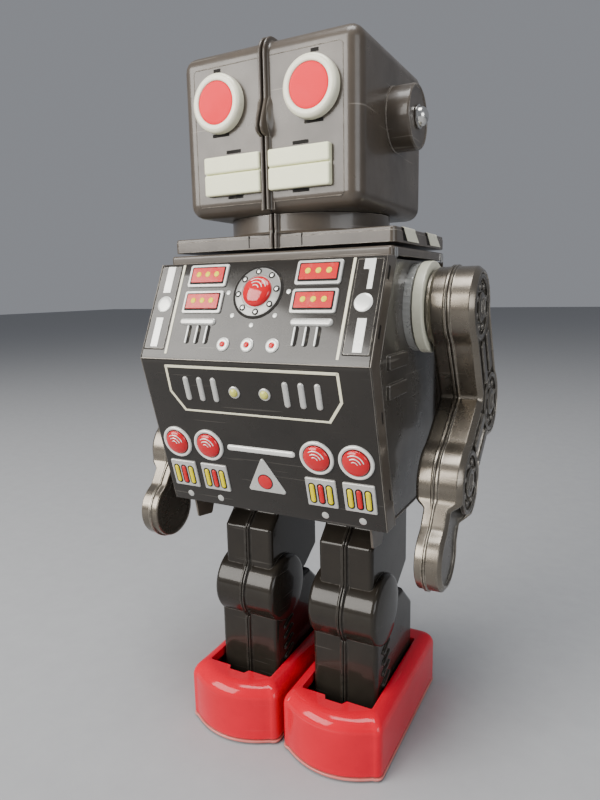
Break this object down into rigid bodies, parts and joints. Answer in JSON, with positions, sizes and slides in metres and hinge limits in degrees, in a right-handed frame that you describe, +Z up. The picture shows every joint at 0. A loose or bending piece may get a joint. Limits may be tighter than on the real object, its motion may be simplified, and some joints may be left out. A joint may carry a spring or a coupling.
{
  "type": "walking toy robot",
  "caption": "Battery walking robot toy in lacquered tin: box head, folded chest panel with printed dials, jointed-look swinging arms, shuffling legs in red boots on rollers.",
  "frame": {"origin": "on the floor, under the middle of the whole robot's bounding box", "axes": "+Z up; the robot faces -Y; +X is the robot's left"},
  "size_m": [0.15, 0.0978, 0.2942],
  "materials": {
    "black_tin": "glossy black-brown lacquer over tin, edges rubbed",
    "leg_tin": "glossy gunmetal lacquer over tin",
    "red_tin": "glossy red lacquer, rim worn pale",
    "arm_plastic": "gunmetal moulding with silvery rubbed edges",
    "cream_plastic": "cream",
    "mouth_tin": "pale cream-green lacquer",
    "red_lens": "coral red",
    "bright_tin": "bright tin",
    "plated_steel": "plated",
    "motor_can": "plated can",
    "brass": "plain",
    "gear_plastic": "plain moulding",
    "roller_rubber": "matt",
    "cell_jacket": "plain coloured jacket"
  },
  "bodies": {
    "torso": {"head_shell_left": "black_tin", "eye_bezel_left": "cream_plastic", "eye_lens_left": "red_lens", "mouth_plate_left": "mouth_tin", "ear_cap_left": "black_tin", "ear_knob_left": "bright_tin", "neck_shoulder_left": "black_tin", "shoulder_insert_left": "cream_plastic", "side_panel_left": "black_tin", "shoulder_ring_left": "cream_plastic", "battery_contact_left": "brass", "battery_cell_left": "cell_jacket", "head_shell_right": "black_tin", "eye_bezel_right": "cream_plastic", "eye_lens_right": "red_lens", "mouth_plate_right": "mouth_tin", "ear_cap_right": "black_tin", "ear_knob_right": "bright_tin", "neck_shoulder_right": "black_tin", "shoulder_insert_right": "cream_plastic", "side_panel_right": "black_tin", "shoulder_ring_right": "cream_plastic", "battery_contact_right": "brass", "battery_cell_right": "cell_jacket", "top_cap": "black_tin", "front_panel": "black_tin", "back_panel": "black_tin", "base_plate": "black_tin", "shoulder_axle": "plated_steel", "gearbox_plate_left": "plated_steel", "gearbox_plate_right": "plated_steel", "motor": "motor_can", "battery_bay": "gear_plastic", "battery_bridge": "brass", "switch_body": "gear_plastic"},
    "arm_left": {"arm_inner_left": "arm_plastic", "arm_outer_left": "arm_plastic"},
    "arm_right": {"arm_inner_right": "arm_plastic", "arm_outer_right": "arm_plastic"},
    "leg_left": {"leg_outer_left": "leg_tin", "leg_inner_left": "leg_tin", "boot_left": "red_tin", "sole_left": "plated_steel"},
    "front_rollers_left": {"front_rollers_left": "roller_rubber"},
    "rear_rollers_left": {"rear_rollers_left": "roller_rubber"},
    "leg_right": {"leg_outer_right": "leg_tin", "leg_inner_right": "leg_tin", "boot_right": "red_tin", "sole_right": "plated_steel"},
    "front_rollers_right": {"front_rollers_right": "roller_rubber"},
    "rear_rollers_right": {"rear_rollers_right": "roller_rubber"},
    "crank": {"crank_shaft": "plated_steel", "crank_gear": "gear_plastic", "crank_disc_left": "plated_steel", "crank_disc_right": "plated_steel"},
    "second_idler": {"second_idler_gear": "gear_plastic"},
    "first_idler": {"first_idler_gear": "gear_plastic"},
    "motor_shaft": {"motor_pinion": "brass"},
    "battery_door": {"battery_door": "black_tin"},
    "switch_knob": {"switch_knob": "red_lens"}
  },
  "joints": [
    {"name": "arm_left_swing", "type": "hinge", "parent": "torso", "child": "arm_left", "pos_m": [0, 0.00833, 0.193], "axis": [-1, 0, 0], "range_deg": [-50, 170]},
    {"name": "arm_right_swing", "type": "hinge", "parent": "torso", "child": "arm_right", "pos_m": [0, 0.00833, 0.193], "axis": [-1, 0, 0], "range_deg": [-50, 170]},
    {"name": "leg_left_shuffle", "type": "slide", "parent": "torso", "child": "leg_left", "axis": [0, -1, 0], "range_m": [-0.004, 0.004]},
    {"name": "front_rollers_left_spin", "type": "hinge", "parent": "leg_left", "child": "front_rollers_left", "pos_m": [0.0246, -0.01867, 0.0046], "axis": [1, 0, 0], "continuous": true},
    {"name": "rear_rollers_left_spin", "type": "hinge", "parent": "leg_left", "child": "rear_rollers_left", "pos_m": [0.0246, 0.03733, 0.0046], "axis": [1, 0, 0], "continuous": true},
    {"name": "leg_right_shuffle", "type": "slide", "parent": "torso", "child": "leg_right", "axis": [0, -1, 0], "range_m": [-0.004, 0.004]},
    {"name": "front_rollers_right_spin", "type": "hinge", "parent": "leg_right", "child": "front_rollers_right", "pos_m": [-0.0246, -0.01867, 0.0046], "axis": [1, 0, 0], "continuous": true},
    {"name": "rear_rollers_right_spin", "type": "hinge", "parent": "leg_right", "child": "rear_rollers_right", "pos_m": [-0.0246, 0.03733, 0.0046], "axis": [1, 0, 0], "continuous": true},
    {"name": "crank_spin", "type": "hinge", "parent": "torso", "child": "crank", "pos_m": [0, 0.00633, 0.126], "axis": [1, 0, 0], "continuous": true},
    {"name": "second_idler_spin", "type": "hinge", "parent": "torso", "child": "second_idler", "pos_m": [0, -0.00167, 0.13986], "axis": [1, 0, 0], "continuous": true},
    {"name": "first_idler_spin", "type": "hinge", "parent": "torso", "child": "first_idler", "pos_m": [0, -0.00967, 0.15371], "axis": [1, 0, 0], "continuous": true},
    {"name": "motor_shaft_spin", "type": "hinge", "parent": "torso", "child": "motor_shaft", "pos_m": [0, -0.01767, 0.16757], "axis": [1, 0, 0], "continuous": true},
    {"name": "battery_door_hinge", "type": "hinge", "parent": "torso", "child": "battery_door", "pos_m": [0, 0.04133, 0.1434], "axis": [-1, 0, 0], "range_deg": [0, 95]},
    {"name": "switch_slide", "type": "slide", "parent": "torso", "child": "switch_knob", "axis": [0, 0, 1], "range_m": [0, 0.006]}
  ],
  "couplings": [
    {"joint": "leg_right_shuffle", "follows": "leg_left_shuffle", "ratio": -1},
    {"joint": "second_idler_spin", "follows": "crank_spin", "ratio": -3},
    {"joint": "first_idler_spin", "follows": "crank_spin", "ratio": 9},
    {"joint": "motor_shaft_spin", "follows": "crank_spin", "ratio": -27}
  ]
}
